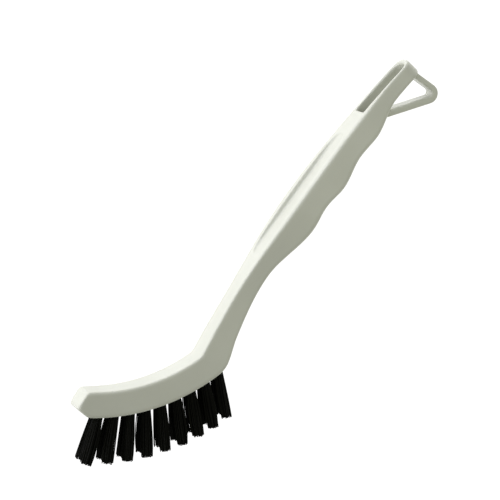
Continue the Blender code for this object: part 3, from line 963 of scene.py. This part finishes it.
def hollow_shade_group():
    """Spots from which the object itself hides much of the view."""
    group, given, out = new_group(
        "painted shade in hollows",
        [("Reach", "NodeSocketFloat", 0.015), ("Amount", "NodeSocketFloat", 0.45)],
        [("Mask", "NodeSocketFloat")],
    )
    # Painted shade: the colour is darkened where the object itself hides much of the view.
    view = add_node(group, "ShaderNodeAmbientOcclusion", links={"Distance": given.outputs["Reach"]},
                    only_local=True, samples=16)
    hidden = add_node(group, "ShaderNodeMath", {0: 1.0}, {1: view.outputs["AO"]}, operation="SUBTRACT")
    painted_shade = add_node(group, "ShaderNodeMath", operation="MULTIPLY",
                    links={0: hidden.outputs[0], 1: given.outputs["Amount"]})
    group.links.new(painted_shade.outputs[0], out.inputs["Mask"])
    return group


RUBBED_EDGES = rub_group()
# The second group paints shade into the hollows.
PAINTED_HOLLOW_SHADE = hollow_shade_group()
print("node groups:", [group.name for group in bpy.data.node_groups])

# %% [markdown]
# Each material starts from one Principled shader. The helpers here do what all three need: they
# place a group, blend two colours, spread a mask over a range of roughness, and feed the grain's
# height to a bump. What is the same all over a surface is set on the shader itself.

# %% Helpers for materials
MIX_FIRST, MIX_SECOND, MIX_COLOUR = 6, 7, 2


def new_material(name):
    material = bpy.data.materials.new(name)
    material.use_nodes = True
    tree = material.node_tree
    return material, tree, tree.nodes["Principled BSDF"]


def group_node(tree, group, values=None, links=None):
    return add_node(tree, "ShaderNodeGroup", values, links, node_tree=group)


def blend(tree, factor, first, second):
    """A colour between two, by a factor that changes over the surface. The first may be linked."""
    node = add_node(tree, "ShaderNodeMix", data_type="RGBA", links={0: factor})
    if isinstance(first, tuple):
        node.inputs[MIX_FIRST].default_value = (*first, 1)
    else:
        tree.links.new(first, node.inputs[MIX_FIRST])
    node.inputs[MIX_SECOND].default_value = (*second, 1)
    return node.outputs[MIX_COLOUR]


def spread(tree, mask, start, end):
    """A value from start, where the mask is 0, to end, where it is 1."""
    ends = {"To Min": start, "To Max": end}
    return add_node(tree, "ShaderNodeMapRange", ends, {"Value": mask}).outputs["Result"]


def add_bump(tree, shader, height, strength, distance):
    bump = add_node(tree, "ShaderNodeBump", {"Strength": strength, "Distance": distance},
                    {"Height": height})
    tree.links.new(bump.outputs["Normal"], shader.inputs["Normal"])


print("helpers:", blend.__name__, spread.__name__, add_bump.__name__)

# %% [markdown]
# The handle is a pale grey-green plastic with a satin skin. Its colour is nearly even, with slow,
# faint clouds from the flow of the melt. The grain is only a few hundredths of a millimetre, and
# the edges, which slide on the table and in the hand, are a little smoother than the rest. The
# walls of the slot and the corners round the holes and the strap get painted shade: their colour
# is darkened where the object hides much of the view. A little light goes into the plastic and
# comes out beside it, which softens the edges' shading.

# %% Moulded plastic
PLASTIC_TONES = ((0.665, 0.678, 0.582), (0.695, 0.708, 0.612))
# The darkest colour of the painted shade in hollows and corners.
PAINTED_SHADE_COLOUR = (0.05, 0.052, 0.042)
PLASTIC_ROUGHNESS = (0.38, 0.31)
RUBBED_SMOOTHER = 0.10


def moulded_plastic():
    material, tree, shader = new_material("moulded plastic")
    place = tree.nodes.new("ShaderNodeTexCoord").outputs["Object"]
    grain = group_node(tree, FINE_GRAIN, {"Grain Scale": 3200.0, "Cloud Scale": 45.0}, {"Vector": place})
    rub = group_node(tree, RUBBED_EDGES, {"Reach": 0.06}, {"Breakup": grain.outputs["Clouds"]})
    # Painted shade darkens the colour in the slot, the corners and the holes.
    painted_shade = group_node(tree, PAINTED_HOLLOW_SHADE)
    clean = blend(tree, grain.outputs["Clouds"], *PLASTIC_TONES)
    with_painted_shade = blend(tree, painted_shade.outputs["Mask"], clean, PAINTED_SHADE_COLOUR)
    tree.links.new(with_painted_shade, shader.inputs["Base Color"])
    satin = spread(tree, grain.outputs["Clouds"], *PLASTIC_ROUGHNESS)
    polished = add_node(tree, "ShaderNodeMath", {1: RUBBED_SMOOTHER}, {0: rub.outputs["Mask"]},
                        operation="MULTIPLY")
    total = add_node(tree, "ShaderNodeMath", operation="SUBTRACT",
                     links={0: satin, 1: polished.outputs[0]})
    tree.links.new(total.outputs[0], shader.inputs["Roughness"])
    add_bump(tree, shader, grain.outputs["Height"], strength=0.25, distance=0.00004)
    shader.inputs["Subsurface Weight"].default_value = 0.08
    shader.inputs["Subsurface Radius"].default_value = (1.0, 1.0, 0.8)
    shader.inputs["Subsurface Scale"].default_value = 0.0006
    shader.inputs["IOR"].default_value = 1.49
    return material


handle.data.materials.clear()
handle.data.materials.append(moulded_plastic())
print("finished:", handle.name)

# %% [markdown]
# Brush nylon is dyed black all through. Each filament takes the light a little differently, so
# the tone changes from one to the next: a tuft is one mesh, and the geometry node can tell its
# separate filaments apart. Faint drawing marks roughen them, and they hardly shine.

# %% Black nylon
NYLON_TONES = ((0.0018, 0.0019, 0.0011), (0.0050, 0.0054, 0.0026))
NYLON_ROUGHNESS = (0.50, 0.65)


def black_nylon():
    material, tree, shader = new_material("black nylon")
    place = tree.nodes.new("ShaderNodeTexCoord").outputs["Object"]
    grain = group_node(tree, FINE_GRAIN, {"Grain Scale": 1800.0, "Cloud Scale": 300.0}, {"Vector": place})
    island = tree.nodes.new("ShaderNodeNewGeometry").outputs["Random Per Island"]
    tree.links.new(blend(tree, island, *NYLON_TONES), shader.inputs["Base Color"])
    rough = spread(tree, grain.outputs["Speckle"], *NYLON_ROUGHNESS)
    tree.links.new(rough, shader.inputs["Roughness"])
    add_bump(tree, shader, grain.outputs["Height"], strength=0.2, distance=0.00002)
    shader.inputs["IOR"].default_value = 1.53
    shader.inputs["Specular IOR Level"].default_value = 0.1
    return material


nylon = black_nylon()
for tuft in tufts:
    tuft.data.materials.append(nylon)
print("finished:", len(tufts), "tufts")

# %% [markdown]
# The anchors are cut from flat drawn wire. They lie deep in the holes, under the folds, and keep
# the frame's own solids, because their shape is right. Their finish is bright metal, with grain
# that is stretched along one axis, and edges that are worn a little smoother.

# %% Drawn wire
WIRE_TONES = ((0.46, 0.45, 0.42), (0.58, 0.57, 0.54))
WIRE_ROUGHNESS = (0.38, 0.22)
WIRE_STRETCH = (1.0, 1.0, 0.15)


def drawn_wire():
    material, tree, shader = new_material("drawn wire")
    place = tree.nodes.new("ShaderNodeTexCoord").outputs["Object"]
    grain = group_node(tree, FINE_GRAIN,
                       {"Grain Scale": 2500.0, "Cloud Scale": 400.0, "Stretch": WIRE_STRETCH},
                       {"Vector": place})
    rub = group_node(tree, RUBBED_EDGES, {"Reach": 0.1}, {"Breakup": grain.outputs["Speckle"]})
    tree.links.new(blend(tree, grain.outputs["Clouds"], *WIRE_TONES), shader.inputs["Base Color"])
    tree.links.new(spread(tree, rub.outputs["Mask"], *WIRE_ROUGHNESS), shader.inputs["Roughness"])
    add_bump(tree, shader, grain.outputs["Height"], strength=0.3, distance=0.00002)
    shader.inputs["Metallic"].default_value = 1.0
    return material


wire_finish = drawn_wire()
for name in HOLES:
    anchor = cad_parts[f"anchor_{name}"]
    anchor.data.materials.clear()
    anchor.data.materials.append(wire_finish)
print("finished:", len(HOLES), "anchors")

# %% [markdown]
# The ground is a pale matt table. It throws light up on the brush, as the floor of a light tent
# does, and it does so by glowing, since a floor that is lit from above would show the brush's
# shadow. The camera sees it as plain white, so the brush seems to float on the page.

# %% Ground finish
TABLE_COLOUR = (0.25, 0.25, 0.245, 1)
TABLE_GLOW_COLOUR = (1.0, 1.0, 1.0, 1)
TABLE_GLOW = 0.91
TABLE_ROUGHNESS = 0.9


def pale_table():
    material, tree, shader = new_material("pale table")
    shader.inputs["Base Color"].default_value = TABLE_COLOUR
    shader.inputs["Roughness"].default_value = TABLE_ROUGHNESS
    shader.inputs["Specular IOR Level"].default_value = 0.0
    shader.inputs["Emission Color"].default_value = TABLE_GLOW_COLOUR
    white_to_camera(tree, shader.inputs["Emission Strength"]).default_value = TABLE_GLOW
    return material


ground.data.materials.append(pale_table())
print("table glow:", TABLE_GLOW)
